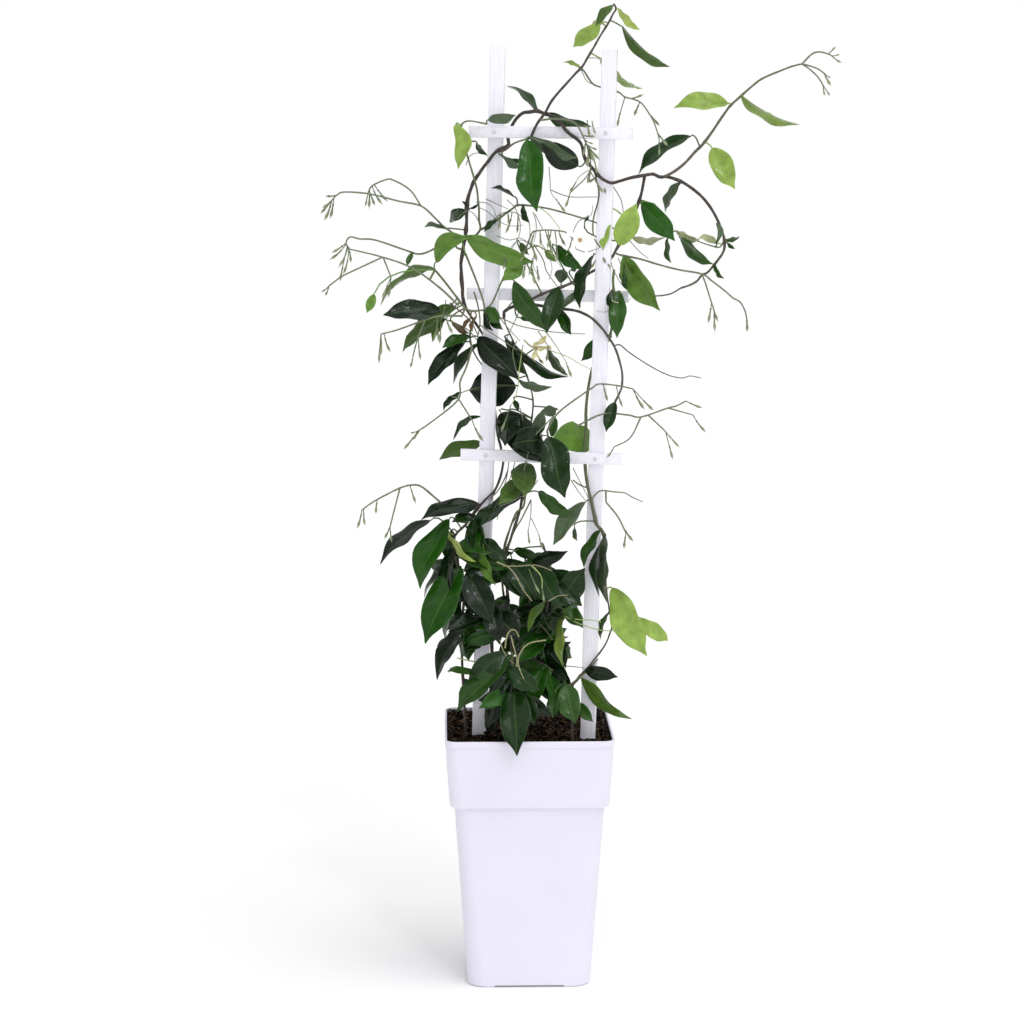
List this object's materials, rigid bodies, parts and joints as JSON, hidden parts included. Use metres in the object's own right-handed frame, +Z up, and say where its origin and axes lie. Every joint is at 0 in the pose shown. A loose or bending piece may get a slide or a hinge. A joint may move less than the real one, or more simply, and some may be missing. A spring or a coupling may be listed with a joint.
{
  "type": "potted star jasmine",
  "caption": "Star jasmine climber trained up a whitewashed lath ladder in a square tapered plastic pot; stands on a flat surface as a house plant.",
  "frame": {"origin": "middle of the pot's flat underside, on the surface that it stands on", "axes": "+Z up along the pot and the ladder; +X to the right and -Y to the front as the plant is meant to be seen, with the pot's sides along X and Y"},
  "size_m": [0.5195, 0.1912, 0.9791],
  "materials": {
    "pot_plastic": "satin moulded plastic",
    "potting_soil": "damp crumbly potting soil",
    "whitewashed_lath": "thin whitewash over sawn wood grain",
    "steel_nail": "dull wire nail",
    "jasmine_leaf": "glossy evergreen leaf on a woody stem",
    "bud_green": "soft pale green bud",
    "petal_white": "soft matte petal",
    "petal_cream": "faded matte petal"
  },
  "bodies": {
    "root": {"pot": "pot_plastic", "soil": "potting_soil", "stake_left": "whitewashed_lath", "stake_right": "whitewashed_lath", "bar_top": "whitewashed_lath", "bar_middle": "whitewashed_lath", "bar_low": "whitewashed_lath", "nail_top_left": "steel_nail", "nail_top_right": "steel_nail", "nail_middle_left": "steel_nail", "nail_middle_right": "steel_nail", "nail_low_left": "steel_nail", "nail_low_right": "steel_nail", "twiner_left": "jasmine_leaf", "shoot_top": "jasmine_leaf", "shoot_upper_left": "jasmine_leaf", "branch_right": "jasmine_leaf", "loop_right": "jasmine_leaf", "shoot_centre": "jasmine_leaf", "trailing_right": "jasmine_leaf", "climber_right": "jasmine_leaf", "crossing_stem": "jasmine_leaf", "stem_middle": "jasmine_leaf", "shoots_left": "jasmine_leaf", "shoot_left_low": "jasmine_leaf", "bush_left": "jasmine_leaf", "bush_centre": "jasmine_leaf", "bush_front": "jasmine_leaf", "bush_back": "jasmine_leaf", "spray_left_high": "bud_green", "spray_left_middle": "bud_green", "spray_left_long": "bud_green", "spray_left_low": "bud_green", "spray_left_foot": "bud_green", "spray_top": "bud_green", "spray_arch": "bud_green", "spray_centre": "bud_green", "spray_right_tip": "bud_green", "spray_low_bar": "bud_green", "spray_right_low": "bud_green", "spray_right_short": "bud_green", "spray_left_bush": "bud_green", "flower_open": "petal_white", "flower_faded": "petal_cream"}
  },
  "joints": []
}
